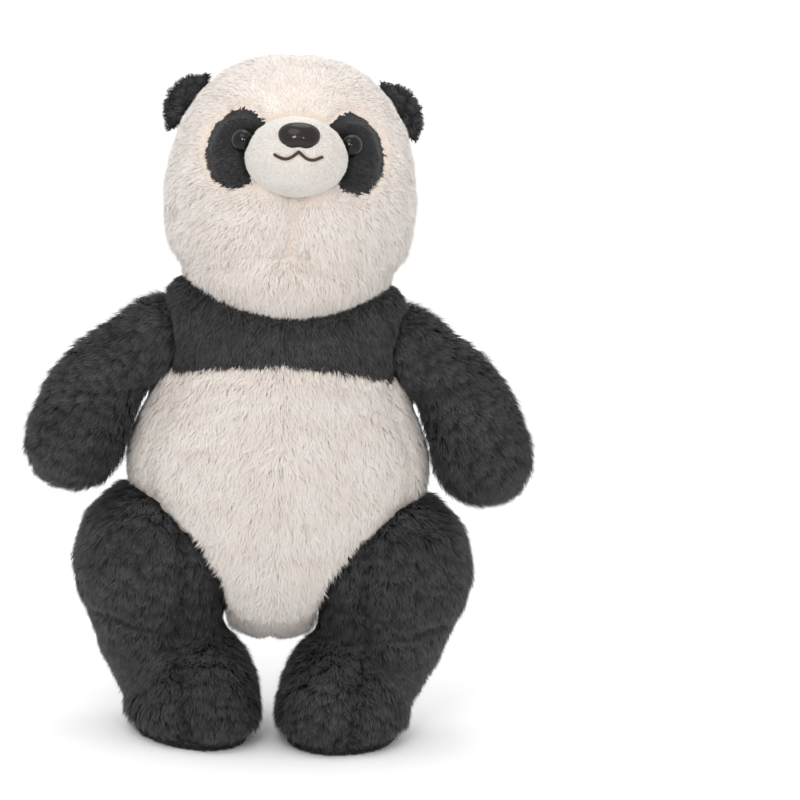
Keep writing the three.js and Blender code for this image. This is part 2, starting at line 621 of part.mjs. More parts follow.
// ---------------------------------------------------------------- feet, built for the left side
const FOOT = [
  [1, 0, 0, 10], [0.965, 0.3, 0.3, 10], [0.88, 0.56, 0.55, 9], [0.74, 0.78, 0.76, 7],
  [0.56, 0.93, 0.91, 3], [0.36, 1, 0.99, 0], [0.18, 1, 1, 0], [0.06, 0.95, 0.955, 0], [0, 0.86, 0.88, 0],
];

// The foot's rings end in a flat sole, so a centre point closes it.
function footSolid(inset, columns) {
  const size = { top: FOOT_HEIGHT, bottom: 0, width: FOOT_HALF_WIDTH, depth: FOOT_HALF_LENGTH };
  const geometry = stacked([...FOOT, [0, 0, 0, 0]], size, inset, columns);
  geometry.rotateZ(-degrees(TOE_IN));
  geometry.translate(FOOT_X, FOOT_Y, 0);
  return solid(geometry);
}

const aboveSole = solid(block(-FAR, FAR, -FAR, FAR, SOLE_THICKNESS + SEAM_GAP, FAR));
const aboveLining = solid(block(-FAR, FAR, -FAR, FAR, SOLE_THICKNESS + FIT_GAP, FAR));
const legFur = legSolid(0, 20, 3).add(footSolid(0, 20));
const legSkin = legFur.intersect(aboveSole).subtract(legSolid(PILE, 14, 2).add(footSolid(PILE, 14)));

function legSide(sign) {
  const half = block(sign > 0 ? HALF_GAP : -FAR, sign > 0 ? FAR : -HALF_GAP, -FAR, FAR, -FAR, FAR);
  half.rotateZ(-degrees(TOE_IN) * 0.6);
  half.translate((HIP_X + FOOT_X) / 2 + 2, (HIP_Y + FOOT_Y) / 2, 0);
  return solid(half);
}

const legOuter = geometryOf(legSkin.intersect(legSide(1)));
const legInner = geometryOf(legSkin.intersect(legSide(-1)));
const legStuffing = geometryOf(
  legSolid(PILE + FIT_GAP, 14, 2).add(footSolid(PILE + FIT_GAP, 14)).intersect(aboveLining),
);
const sole = geometryOf(footSolid(0, 20).intersect(solid(block(-FAR, FAR, -FAR, FAR, -FAR, SOLE_THICKNESS))));

// ---------------------------------------------------------------- mouth: one embroidered line on the muzzle
function smile() {
  const stitches = [];
  const count = 12;
  for (let i = 0; i <= count; i += 1) {
    const x = SMILE_HALF_WIDTH * (2 * i / count - 1);
    const sag = 4.2 * Math.abs(Math.sin(Math.PI * x / SMILE_HALF_WIDTH));
    stitches.push(onMuzzle(x, -SMILE_DROP - sag, THREAD_RADIUS + 0.25).point);
  }
  const line = new THREE.CatmullRomCurve3(stitches);
  const steps = 16;
  const rings = [];
  for (let i = 0; i <= steps; i += 1) {
    const tangent = line.getTangent(i / steps);
    const along = Y_AXIS.clone().addScaledVector(tangent, -tangent.y).normalize();
    const across = along.clone().cross(tangent).negate();
    const end = i === 0 || i === steps;
    const width = end ? 0 : THREAD_RADIUS;
    rings.push({ centre: line.getPoint(i / steps), across, along, width, depth: width });
  }
  return solid(ringed(rings, 6));
}

const panda = new THREE.Group();
panda.name = 'plush_panda';

function part(name, geometry, material) {
  const clean = geometry.clone();
  clean.deleteAttribute('normal');
  clean.deleteAttribute('uv');
  const welded = mergeVertices(clean, 1e-4);
  welded.computeVertexNormals();
  const mesh = new THREE.Mesh(welded, material);
  mesh.name = name;
  panda.add(mesh);
}

function pair(name, geometry, material) {
  part(`${name}_left`, geometry, material);
  part(`${name}_right`, mirrored(geometry), material);
}

part('head_face_left', geometryOf(headSkin.intersect(headFront).intersect(LEFT_OF_CENTRE)), WHITE_FUR);
part('head_face_right', geometryOf(headSkin.intersect(headFront).intersect(RIGHT_OF_CENTRE)), WHITE_FUR);
part('head_back', geometryOf(headSkin.intersect(headRear)), WHITE_FUR);
part('neck_collar', geometryOf(collar), WHITE_FUR);
part('head_stuffing', geometryOf(headStuffing), FIBREFILL);
part('muzzle_cover', geometryOf(muzzleFur.subtract(muzzleLining).subtract(headOver).subtract(noseOver)
  .subtract(eyeHoles)), MUZZLE_CLOTH);
part('muzzle_stuffing', geometryOf(muzzleFilling.subtract(headOver).subtract(nosePocket)
  .subtract(eyePockets)), FIBREFILL);
part('nose', nose, NOSE_PLASTIC);
part('nose_washer', noseWasher, WASHER_PLASTIC);
part('mouth_stitch', geometryOf(smile()), THREAD);
pair('eye', eye, EYE_PLASTIC);
pair('eye_washer', eyeWasher, WASHER_PLASTIC);
pair('eye_patch', geometryOf(patch()), BLACK_FUR);
pair('ear_front', earFront, BLACK_FUR);
pair('ear_back', earBack, BLACK_FUR);
part('chest_yoke', geometryOf(upper.intersect(beforeShoulder)), BLACK_FUR);
part('back_yoke', geometryOf(upper.intersect(behindShoulder)), BLACK_FUR);
part('belly_panel', geometryOf(lower.intersect(beforeSeam)), WHITE_FUR);
part('side_panel_left', geometryOf(lower.intersect(behindSeam).intersect(LEFT_OF_CENTRE)), WHITE_FUR);
part('side_panel_right', geometryOf(lower.intersect(behindSeam).intersect(RIGHT_OF_CENTRE)), WHITE_FUR);
part('torso_stuffing', geometryOf(torsoStuffing), FIBREFILL);
part('neck_wad', geometryOf(neckPlug(0).subtract(neckRoom)), FIBREFILL);
part('shoulder_wad_left', geometryOf(shoulderPlug(1, 0).subtract(shoulderHollows)), FIBREFILL);
part('shoulder_wad_right', geometryOf(shoulderPlug(-1, 0).subtract(shoulderHollows)), FIBREFILL);
pair('arm_front', armFront, BLACK_FUR);
pair('arm_back', armBack, BLACK_FUR);
pair('arm_stuffing', armStuffing, FIBREFILL);
pair('leg_outer', legOuter, BLACK_FUR);
pair('leg_inner', legInner, BLACK_FUR);
pair('leg_stuffing', legStuffing, FIBREFILL);
pair('sole', sole, BLACK_FUR);

// The middle of the object's depth lies on the origin.
const bounds = new THREE.Box3().setFromObject(panda);
panda.position.y = -(bounds.min.y + bounds.max.y) / 2;

export default panda;
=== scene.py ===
import json
import math

import bmesh
import bpy
import numpy as np
from mathutils import Matrix, Vector
from mathutils.bvhtree import BVHTree


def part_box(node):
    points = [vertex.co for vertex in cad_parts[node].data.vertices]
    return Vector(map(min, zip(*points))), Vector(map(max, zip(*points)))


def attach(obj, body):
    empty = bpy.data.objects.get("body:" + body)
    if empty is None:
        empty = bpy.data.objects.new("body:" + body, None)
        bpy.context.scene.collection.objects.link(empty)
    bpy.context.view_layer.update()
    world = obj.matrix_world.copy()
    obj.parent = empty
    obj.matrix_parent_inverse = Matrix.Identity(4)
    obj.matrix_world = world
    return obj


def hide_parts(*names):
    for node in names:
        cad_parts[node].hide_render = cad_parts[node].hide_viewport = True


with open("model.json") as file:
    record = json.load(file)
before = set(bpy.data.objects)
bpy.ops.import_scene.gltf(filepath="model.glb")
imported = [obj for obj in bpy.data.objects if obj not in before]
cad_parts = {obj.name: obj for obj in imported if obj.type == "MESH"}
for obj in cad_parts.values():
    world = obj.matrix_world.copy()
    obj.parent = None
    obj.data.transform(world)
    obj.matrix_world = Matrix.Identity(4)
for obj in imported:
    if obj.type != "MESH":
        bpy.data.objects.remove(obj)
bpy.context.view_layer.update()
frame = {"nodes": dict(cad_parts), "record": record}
NODES = frame["nodes"]
BODIES = frame["record"]["behaviour"]["bodies"]
JOINTS = {j["name"]: j for j in frame["record"]["behaviour"]["joints"]}
MM = 0.001
SIDES = (("left", 1), ("right", -1))


# ------------------------------------------------------------------ numbers over many points
def hashed(cells, seed):
    """One random number in 0..1 for each row of whole numbers."""
    x, y, z = (cells[:, i].astype(np.int64).astype(np.uint64) for i in range(3))
    h = x * np.uint64(73856093) ^ y * np.uint64(19349663) ^ z * np.uint64(83492791)
    h ^= np.uint64(seed * 2654435761 + 12345)
    h = (h ^ (h >> np.uint64(15))) * np.uint64(0x2C1B3C6D)
    h = (h ^ (h >> np.uint64(12))) * np.uint64(0x297A2D39)
    h = h ^ (h >> np.uint64(15))
    return (h & np.uint64(0xFFFFFF)).astype(float) / float(0xFFFFFF)


def noise(p, size, seed):
    """Smooth noise in 0..1 with features about as large as size, which may differ by axis."""
    q = p / size
    low = np.floor(q)
    f = q - low
    f = f * f * (3 - 2 * f)
    total = np.zeros(len(p))
    for corner in range(8):
        step = np.array([corner & 1, corner >> 1 & 1, corner >> 2 & 1])
        weight = np.prod(np.where(step, f, 1 - f), axis=1)
        total += weight * hashed(low + step, seed)
    return total


def tufts(p, size, seed):
    """For each point, the way to the middle of its tuft and a number that is the tuft's own."""
    low = np.floor(p / size)
    best = np.full(len(p), 1e9)
    way = np.zeros_like(p)
    own = np.zeros(len(p))
    for dx in (-1, 0, 1):
        for dy in (-1, 0, 1):
            for dz in (-1, 0, 1):
                cell = low + (dx, dy, dz)
                middle = np.stack([hashed(cell, seed + i) for i in range(3)], 1)
                gap = (cell + middle) * size - p
                far = (gap**2).sum(1)
                near = far < best
                best[near] = far[near]
                way[near] = gap[near]
                own[near] = hashed(cell[near], seed + 9)
    return way, own


def unit(v):
    return v / np.maximum(np.linalg.norm(v, axis=-1, keepdims=True), 1e-12)


def flattened(g, n):
    """The part of g that lies along a surface with normal n, as unit vectors."""
    return unit(g - (g * n).sum(-1, keepdims=True) * n)


# ------------------------------------------------------------------ skins from the CAD solids
def node_arrays(name):
    mesh = NODES[name].data
    co = np.empty(len(mesh.vertices) * 3)
    mesh.vertices.foreach_get("co", co)
    return co.reshape(-1, 3), [tuple(f.vertices) for f in mesh.polygons]


def joined(names):
    all_co, all_faces, offset = [], [], 0
    for name in names:
        co, faces = node_arrays(name)
        all_co.append(co)
        all_faces += [tuple(i + offset for i in f) for f in faces]
        offset += len(co)
    return np.concatenate(all_co), all_faces


def with_balls(co, faces, balls):
    """Adds a ball of filling under each limb root, so that no hollow is left there."""
    for centre, radius in balls:
        bm = bmesh.new()
        bmesh.ops.create_icosphere(bm, subdivisions=4, radius=radius)
        first = len(co)
        co = np.concatenate([co, [np.array(v.co) + centre for v in bm.verts]])
        faces = faces + [tuple(first + v.index for v in f.verts) for f in bm.faces]
        bm.free()
    return co, faces


class Skin:
    """A smooth closed surface round some CAD solids and balls of filling."""

    def __init__(self, names, voxel, rounds, sink, balls=()):
        co, faces = with_balls(*joined(names), balls)
        mesh = bpy.data.meshes.new("skin")
        mesh.from_pydata(co.tolist(), [], faces)
        obj = bpy.data.objects.new("skin", mesh)
        bpy.context.scene.collection.objects.link(obj)
        remesh = obj.modifiers.new("remesh", "REMESH")
        remesh.mode = "VOXEL"
        remesh.voxel_size = voxel
        smooth = obj.modifiers.new("smooth", "SMOOTH")
        smooth.factor = 0.5
        smooth.iterations = rounds
        ready = obj.evaluated_get(bpy.context.evaluated_depsgraph_get()).to_mesh()
        ready.calc_loop_triangles()
        self.co = np.empty(len(ready.vertices) * 3)
        ready.vertices.foreach_get("co", self.co)
        self.co = self.co.reshape(-1, 3)
        self.tri = np.empty(len(ready.loop_triangles) * 3, np.int32)
        ready.loop_triangles.foreach_get("vertices", self.tri)
        self.tri = self.tri.reshape(-1, 3)
        bpy.data.objects.remove(obj)
        bpy.data.meshes.remove(mesh)
        self.renormal()
        self.co -= self.normal * sink
        self.keep_biggest()
        self.renormal()

    def keep_biggest(self):
        """Drops any closed surface inside the outer one."""
        label = np.arange(len(self.co))
        while True:
            low = label[self.tri].min(1)
            new = label.copy()
            for i in range(3):
                np.minimum.at(new, self.tri[:, i], low)
            new = new[new]
            if (new == label).all():
                break
            label = new
        main = np.bincount(label).argmax()
        used = label == main
        index = np.cumsum(used) - 1
        self.tri = index[self.tri[used[self.tri[:, 0]]]]
        self.co = self.co[used]

    def renormal(self):
        a, b, c = self.co[self.tri].transpose(1, 0, 2)
        cross = np.cross(b - a, c - a)
        self.area = np.linalg.norm(cross, axis=1) / 2
        normal = np.zeros_like(self.co)
        for i in range(3):
            np.add.at(normal, self.tri[:, i], cross)
        self.normal = unit(normal)

    def tree(self):
        return BVHTree.FromPolygons(self.co.tolist(), self.tri.tolist())


def distances(points, names):
    """The distance from each point to each named CAD node."""
    out = np.empty((len(points), len(names)))
    for j, name in enumerate(names):
        co, faces = node_arrays(name)
        tree = BVHTree.FromPolygons(co.tolist(), faces)
        for i, p in enumerate(points):
            out[i, j] = tree.find_nearest(p)[3]
    return out


# ------------------------------------------------------------------ materials
def fur_material(name, stops, tint_low, tint_high, sheen, roughness):
    """Colour runs from root to tip along V, darker towards the root as painted shade deep in the pile, and
    each lock has its own tint along U.
    """
    mat = bpy.data.materials.new(name)
    mat.use_nodes = True
    nt = mat.node_tree
    shader = nt.nodes["Principled BSDF"]
    place = nt.nodes.new("ShaderNodeUVMap")
    place.uv_map = "OFBake"
    parts = nt.nodes.new("ShaderNodeSeparateXYZ")
    nt.links.new(place.outputs["UV"], parts.inputs[0])
    along = nt.nodes.new("ShaderNodeValToRGB")
    along.color_ramp.interpolation = "EASE"
    for i, (at, colour) in enumerate(stops):
        stop = along.color_ramp.elements[i] if i < 2 else along.color_ramp.elements.new(at)
        stop.position = at
        stop.color = (*colour, 1)
    nt.links.new(parts.outputs["Y"], along.inputs["Fac"])
    across = nt.nodes.new("ShaderNodeValToRGB")
    across.color_ramp.elements[0].color = (*tint_low, 1)
    across.color_ramp.elements[1].color = (*tint_high, 1)
    nt.links.new(parts.outputs["X"], across.inputs["Fac"])
    both = nt.nodes.new("ShaderNodeMix")
    both.data_type = "RGBA"
    both.blend_type = "MULTIPLY"
    both.inputs["Factor"].default_value = 1
    nt.links.new(along.outputs["Color"], both.inputs[6])
    nt.links.new(across.outputs["Color"], both.inputs[7])
    nt.links.new(both.outputs[2], shader.inputs["Base Color"])
    shader.inputs["Roughness"].default_value = roughness
    shader.inputs["Specular IOR Level"].default_value = 0.25
    shader.inputs["Sheen Weight"].default_value = sheen
    shader.inputs["Sheen Roughness"].default_value = 0.5
    return mat


def spotted_material(name, low, high, size, roughness, coat=0.0, sheen=0.0):
    """A nearly even colour with a fine mottle, for plastic, thread and hidden filling."""
    mat = bpy.data.materials.new(name)
    mat.use_nodes = True
    nt = mat.node_tree
    shader = nt.nodes["Principled BSDF"]
    place = nt.nodes.new("ShaderNodeTexCoord")
    mottle = nt.nodes.new("ShaderNodeTexNoise")
    mottle.inputs["Scale"].default_value = 1 / size
    mottle.inputs["Detail"].default_value = 3
    nt.links.new(place.outputs["Object"], mottle.inputs["Vector"])
    ramp = nt.nodes.new("ShaderNodeValToRGB")
    ramp.color_ramp.elements[0].color = (*low, 1)
    ramp.color_ramp.elements[1].color = (*high, 1)
    nt.links.new(mottle.outputs["Fac"], ramp.inputs["Fac"])
    nt.links.new(ramp.outputs["Color"], shader.inputs["Base Color"])
    shader.inputs["Roughness"].default_value = roughness
    shader.inputs["Coat Weight"].default_value = coat
    shader.inputs["Coat Roughness"].default_value = 0.03
    shader.inputs["Sheen Weight"].default_value = sheen
    shader.inputs["Specular IOR Level"].default_value = 0.3 if roughness < 0.2 else 0.1
    return mat


# painted shade: the pile darkens towards the root, where shade falls deep in it; the warm beige there is also
# the pile's own root tone
WHITE = fur_material(
    "white_pile",
    [(0.0, (0.66, 0.57, 0.50)), (1.0, (0.90, 0.87, 0.845)), (0.45, (0.82, 0.765, 0.715))],
    (0.86, 0.82, 0.78), (1.0, 1.0, 1.0), 0.25, 0.9,
)
# painted shade and painted sheen: near-black roots and a dark middle stand for the shade deep in the pile,
# and the lighter tips for sheen
BLACK = fur_material(
    "charcoal_pile",
    [(0.0, (0.004, 0.004, 0.0045)), (1.0, (0.12, 0.115, 0.12)), (0.5, (0.022, 0.021, 0.023))],
    (0.42, 0.41, 0.41), (1.0, 1.0, 1.0), 0.08, 0.65,
)
# painted shade: the pile darkens towards the root, where shade falls deep in it
CREAM = fur_material(
    "muzzle_pile",
    [(0.0, (0.66, 0.60, 0.54)), (1.0, (0.85, 0.825, 0.79)), (0.4, (0.78, 0.745, 0.705))],
    (0.93, 0.91, 0.89), (1.0, 1.0, 1.0), 0.2, 0.9,
)
GLOSS_BLACK = spotted_material("eye_gloss", (0.001, 0.001, 0.001), (0.003, 0.003, 0.003), 0.004, 0.07)
GLOSS_BROWN = spotted_material("nose_gloss", (0.007, 0.004, 0.0035), (0.013, 0.008, 0.006), 0.003, 0.15, 0.08)
THREAD = spotted_material("thread", (0.030, 0.015, 0.010), (0.075, 0.042, 0.030), 0.0006, 0.75, 0.0, 0.3)
FIBRE = spotted_material("fibrefill", (0.62, 0.60, 0.57), (0.82, 0.80, 0.77), 0.006, 0.95, 0.0, 0.2)
PLASTIC = spotted_material("washer", (0.55, 0.55, 0.53), (0.66, 0.66, 0.64), 0.004, 0.5)


# ------------------------------------------------------------------ the mesh of one furry piece
# Each corner of a strand on the map: how far it stands from the lock's tint, and its place from root to tip.
STRAND_UV = ((-0.006, 0.02), (0.006, 0.02), (-0.006, 0.5), (0.006, 0.5), (0.0, 0.99))


def strands(root, n, flow, length, width, rise, rng, shade, tuft, pull):
    """Tapered bent blades, five vertices each: (vertices, shading normals, UV of each vertex)."""
    count = len(root)
    jitter = rng.normal(size=(count, 3))
    way, own = tufts(root, tuft, 11)
    lie = flattened(way, n) * np.minimum(np.linalg.norm(way, axis=1, keepdims=True) / tuft, 1)
    lean = unit(flow + 0.35 * flattened(jitter, n) + (own[:, None] - 0.5) * 0.5 * np.cross(n, flow))
    start = unit(n * rise[:, None] + lean * (1.05 - rise[:, None]))
    end = unit(n * (rise[:, None] * 0.62) + lean + 0.12 * jitter)
    reach = length[:, None]
    knee = root + start * reach * 0.45
    tip = knee + end * reach * 0.55 + lie * pull[:, None]
    along = unit(tip - root)
    side = unit(np.cross(along, n))
    turn = rng.uniform(-0.7, 0.7, (count, 1))
    flat = unit(side * np.cos(turn) + np.cross(along, side) * np.sin(turn))
    half = width[:, None] / 2
    v = np.stack([root - flat * half, root + flat * half, knee - flat * half * 0.8,
                  knee + flat * half * 0.8, tip], 1)
    soft = unit(n * 0.85 + along * 0.15 + jitter * 0.1)
    normals = np.stack([soft, soft, soft, soft, unit(soft + along * 0.1)], 1)
    shade = np.clip(shade + rng.normal(size=count) * 0.13, 0.02, 0.98)
    uv = np.empty((count, 5, 2))
    for corner, (across, along_v) in enumerate(STRAND_UV):
        uv[:, corner, 0] = shade + across
        uv[:, corner, 1] = along_v
    return v.reshape(-1, 3), normals.reshape(-1, 3), uv.reshape(-1, 2)


def furry(name, skin, faces, facts, material, density, rng):
    """One piece: the skin's own faces and the strands that stand on them."""
    tri = skin.tri[faces]
    used = np.unique(tri)
    index = np.full(len(skin.co), -1)
    index[used] = np.arange(len(used))
    base = index[tri]
    skin_v = skin.co[used]
    skin_n = skin.normal[used]
    # the skin between the strands takes the darkest root colour, which shows as painted shade between them
    skin_uv = np.stack([0.2 + 0.6 * hashed(np.floor(skin_v / MM * 4), 3),
                        0.01 + 0.10 * hashed(np.floor(skin_v / MM * 4), 4)], 1)
    want = density * facts["cover"][tri].mean(1) * skin.area[faces]
    total = int(want.sum())
    pick = rng.choice(len(faces), total, p=want / want.sum())
    r1, r2 = np.sqrt(rng.random(total)), rng.random(total)
    bary = np.stack([1 - r1, r1 * (1 - r2), r1 * r2], 1)
    corner = tri[pick]

    def at(values):
        return (values[corner] * (bary[:, :, None] if values.ndim > 1 else bary)).sum(1)

    n = unit(at(skin.normal))
    root = at(skin.co) - n * 0.4 * MM
    flow = flattened(at(facts["flow"]), n)
    v, normals, uv = strands(
        root, n, flow, at(facts["length"]) * rng.uniform(0.72, 1.12, total), at(facts["width"]),
        at(facts["rise"]), rng, at(facts["shade"]), facts["tuft"], at(facts["pull"]),
    )
    v[:, 2] = np.maximum(v[:, 2], 0.4 * MM)
    first = len(skin_v) + np.arange(total) * 5
    quads = first[:, None] + (0, 1, 3, 2)
    tips = first[:, None] + (2, 3, 4)
    loops = np.concatenate([base.ravel(), quads.ravel(), tips.ravel()]).astype(np.int32)
    sizes = np.concatenate([np.full(len(base), 3), np.full(total, 4), np.full(total, 3)]).astype(np.int32)
    starts = np.concatenate([[0], np.cumsum(sizes)[:-1]]).astype(np.int32)
    all_v = np.concatenate([skin_v, v])
    all_n = np.concatenate([skin_n, normals])
    all_uv = np.concatenate([skin_uv, uv])
    mesh = bpy.data.meshes.new(name)
    mesh.vertices.add(len(all_v))
    mesh.vertices.foreach_set("co", all_v.astype(np.float32).ravel())
    mesh.loops.add(len(loops))
    mesh.loops.foreach_set("vertex_index", loops)
    mesh.polygons.add(len(sizes))
    mesh.polygons.foreach_set("loop_start", starts)
    mesh.polygons.foreach_set("loop_total", sizes)
    layer = mesh.uv_layers.new(name="OFBake")
    layer.uv.foreach_set("vector", all_uv[loops].astype(np.float32).ravel())
    mesh.update(calc_edges=True)
    mesh.polygons.foreach_set("use_smooth", np.ones(len(sizes), bool))
    mesh.normals_split_custom_set_from_vertices(all_n.astype(np.float32))
    mesh.materials.append(material)
    obj = bpy.data.objects.new(name, mesh)
    bpy.context.scene.collection.objects.link(obj)
    return obj


# ------------------------------------------------------------------ places read from the CAD
def middle(name):
    low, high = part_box(name)
    return (np.array(low) + np.array(high)) / 2


MUZZLE = middle("muzzle_cover")
HEAD = middle("head_stuffing")
EYES = {}


def seat(button, washer):
    """The front of a button and the way it looks, read from the washer on its stem."""
    ring, _ = node_arrays(washer)
    back = (ring.min(0) + ring.max(0)) / 2
    out = np.linalg.svd(ring - ring.mean(0))[2][2]
    co, _ = node_arrays(button)
    out = out if ((co - back) @ out).max() > -((co - back) @ out).min() else -out
    return back + out * ((co - back) @ out).max(), out


EYE_SHIFT = 3.2 * MM  # the eyes stand this much further from the middle than in the CAD
for side, sign in SIDES:
    EYES[side] = seat(f"eye_{side}", f"eye_washer_{side}")
    EYES[side][0][0] += sign * EYE_SHIFT
NOSE, NOSE_OUT = seat("nose", "nose_washer")
mouth_co, _ = node_arrays("mouth_stitch")
mouth_bins = np.linspace(mouth_co[:, 0].min() - 1e-6, mouth_co[:, 0].max() + 1e-6, 16)
MOUTH = np.array([mouth_co[(mouth_co[:, 0] >= a) & (mouth_co[:, 0] < b)].mean(0)
                  for a, b in zip(mouth_bins[:-1], mouth_bins[1:])])

PANELS = {
    "head": ["head_face_left", "head_face_right", "head_back", "neck_collar",
             "eye_patch_left", "eye_patch_right"],
    "torso": ["chest_yoke", "back_yoke", "belly_panel", "side_panel_left", "side_panel_right"],
}
EXTRA = {"head": ["head_stuffing"], "torso": ["torso_stuffing"]}
# For each body's skin, the voxel size and the rounds of smoothing.
SKIN_OF = {"head": (2.4 * MM, 24), "torso": (2.6 * MM, 34)}
for side, sign in SIDES:
    PANELS[f"arm_{side}"] = [f"arm_front_{side}", f"arm_back_{side}"]
    PANELS[f"leg_{side}"] = [f"leg_outer_{side}", f"leg_inner_{side}", f"sole_{side}"]
    PANELS[f"ear_{side}"] = [f"ear_front_{side}", f"ear_back_{side}"]
    EXTRA[f"arm_{side}"] = [f"arm_stuffing_{side}"]
    EXTRA[f"leg_{side}"] = [f"leg_stuffing_{side}"]
    EXTRA[f"ear_{side}"] = []
    SKIN_OF[f"arm_{side}"] = (2.2 * MM, 22)
    SKIN_OF[f"leg_{side}"] = (2.4 * MM, 18)
    SKIN_OF[f"ear_{side}"] = (1.4 * MM, 8)
# In millimetres: the length of the pile, and how far the skin lies under the CAD surface.
LENGTH = {"head": 9.0, "torso": 9.5, "arm": 10.0, "leg": 10.0, "ear": 6.5}
SINK = {"head": 3.8, "torso": 4.0, "arm": 3.6, "leg": 3.8, "ear": 2.4}

def filling_balls():
    """A ball in each hollow of the torso, a little smaller than the hollow."""
    co, faces = joined(PANELS["torso"])
    tree = BVHTree.FromPolygons(co.tolist(), faces)
    balls = []
    for name in ("neck_turn", "shoulder_left_swing", "shoulder_right_swing",
                 "hip_left_swing", "hip_right_swing"):
        centre = np.array(JOINTS[name]["pos_m"])
        balls.append((centre, tree.find_nearest(centre)[3] - 2.0 * MM))
    return balls


skins = {}
for body in PANELS:
    kind = body.split("_")[0]
    voxel, rounds = SKIN_OF[body]
    balls = filling_balls() if body == "torso" else ()
    skins[body] = Skin(PANELS[body] + EXTRA[body], voxel, rounds, SINK[kind] * MM, balls)
skins["muzzle"] = Skin(["muzzle_cover", "muzzle_stuffing"], 1.5 * MM, 12, 1.2 * MM)


def tuck_in(skin, centre, hollow, depth):
    """Presses what stands in a limb's hollow back towards the middle of the joint."""
    arm = skin.co - centre
    far = np.linalg.norm(arm, axis=1)
    inside = far < hollow - 0.8 * MM
    skin.co[inside] = centre + arm[inside] * (np.minimum(far, hollow - depth) / far)[inside, None]


# the hollows, the arm roots, the legs with their creases, the torso, the face and the soles
for centre, radius in filling_balls():
    tuck_in(skins["torso"], centre, radius + 2 * MM, 9 * MM)
for side, sign in SIDES:
    skin = skins[f"arm_{side}"]
    root = np.array(JOINTS[f"arm_{side}_lift"]["pos_m"])
    arm = skin.co - root
    top = np.clip(arm[:, 2] / 0.02, 0, 1) ** 0.7
    near = np.clip(1 - np.abs(arm[:, 0] * sign - 0.002) / 0.034, 0, 1)
    skin.co[:, 2] += 7.5 * MM * top * near * near * (3 - 2 * near)
for side, sign in SIDES:
    skin = skins[f"leg_{side}"]
    hip = np.array(JOINTS[f"hip_{side}_swing"]["pos_m"])
    high = np.clip((skin.co[:, 2] - 0.070) / 0.03, 0, 1)[:, None]
    skin.co[:, 0] -= sign * 2.8 * MM * np.clip((skin.co[:, 2] - 0.030) / 0.03, 0, 1)
    skin.co += unit(skin.co - hip) * 5.5 * MM * high
    front = np.clip(-skin.normal[:, 1] + 0.2, 0, 1)
    for height, slope, depth in ((0.066, 0.25, 2.6), (0.083, -0.18, 1.8), (0.099, 0.12, 1.2)):
        gap = skin.co[:, 2] - height - slope * (skin.co[:, 0] * sign - 0.06)
        skin.co -= skin.normal * (depth * MM * front * np.exp(-((gap / (3.2 * MM)) ** 2)))[:, None]
low = skins["torso"].co
side_on = np.clip((np.abs(low[:, 0]) - 0.04) / 0.03, 0, 1)
at_waist = np.clip(1 - np.abs(low[:, 2] - 0.190) / 0.045, 0, 1)
# fullness at the waist and at the bottom between the legs
low[:, 0] += np.sign(low[:, 0]) * 7.0 * MM * side_on * at_waist * (2 - at_waist)
between_legs = np.clip(1 - np.abs(low[:, 0]) / 0.045, 0, 1)
low[:, 2] -= 3.5 * MM * np.clip((0.085 - low[:, 2]) / 0.02, 0, 1) * between_legs
muzzle_co = skins["muzzle"].co
muzzle_co[:, 1] += 7.0 * MM * np.clip((muzzle_co[:, 1] - MUZZLE[1]) / 0.008, 0, 1)
head_skin = skins["head"]
for apex, out in EYES.values():
    gap = np.linalg.norm(head_skin.co - apex, axis=1) / 0.014
    head_skin.co += head_skin.normal * (4.5 * MM * np.exp(-(gap**2)))[:, None]
for side, sign in SIDES:
    skin = skins[f"leg_{side}"]
    drop = skin.co[:, 2].min() - 0.6 * MM
    skin.co[:, 2] -= drop * np.clip(1 - (skin.co[:, 2] - 0.01) / 0.03, 0, 1)
for skin in skins.values():
    skin.co[:, 2] = np.maximum(skin.co[:, 2], 0.6 * MM)
    skin.renormal()


def flow_of(body, co, n):
    side = 1 if body.endswith("left") else -1
    down = np.array([0, 0, -1.0])
    if body == "head":
        away = unit(co - MUZZLE)
        front = np.clip((HEAD[1] - co[:, 1]) / 0.05, 0, 1)[:, None]
        return away * (0.45 + 0.9 * front) + down * 0.75
    if body == "muzzle":
        return unit(co - NOSE) + down * 0.1
    if body == "torso":
        return down + np.stack([np.sign(co[:, 0]) * 0.25, co[:, 1] * 0, co[:, 2] * 0], 1)
    if body.startswith("arm"):
        root = np.array(JOINTS[f"arm_{body[4:]}_lift"]["pos_m"])
        paw = middle(f"arm_stuffing_{body[4:]}") * 2 - root
        return unit(paw - root) + unit(co - root) * 0.8 + down * 0.25
    if body.startswith("leg"):
        hip = np.array(JOINTS[f"hip_{body[4:]}_swing"]["pos_m"])
        sole = middle(f"sole_{body[4:]}")
        low = np.clip((0.07 - co[:, 2]) / 0.05, 0, 1)[:, None]
        away = unit(co - (hip * 0.3 + sole * 0.7))
        return down + np.array([side * 0.25, 0, 0]) + low * (away * 1.1 + np.array([0, -0.3, 0]))
    root = np.array(JOINTS[f"{body}_flex"]["pos_m"])
    return unit(co - root) + np.array([0, 0, 0.1])


trees = {body: skin.tree() for body, skin in skins.items()}


def set_on(body, apex, out, proud):
    """The apex of a button brought back along its own line to stand proud of the cloth."""
    hit, _, _, _ = trees[body].ray_cast(Vector(apex + out * 5 * MM), Vector(-out))
    return np.array(hit) + out * proud


NOSE = set_on("muzzle", NOSE, NOSE_OUT, 6.2 * MM)
EYES = {side: (set_on("head", apex, out, 6.4 * MM), out) for side, (apex, out) in EYES.items()}
MOUTH = np.array([trees["muzzle"].find_nearest(Vector(p))[0] for p in MOUTH])


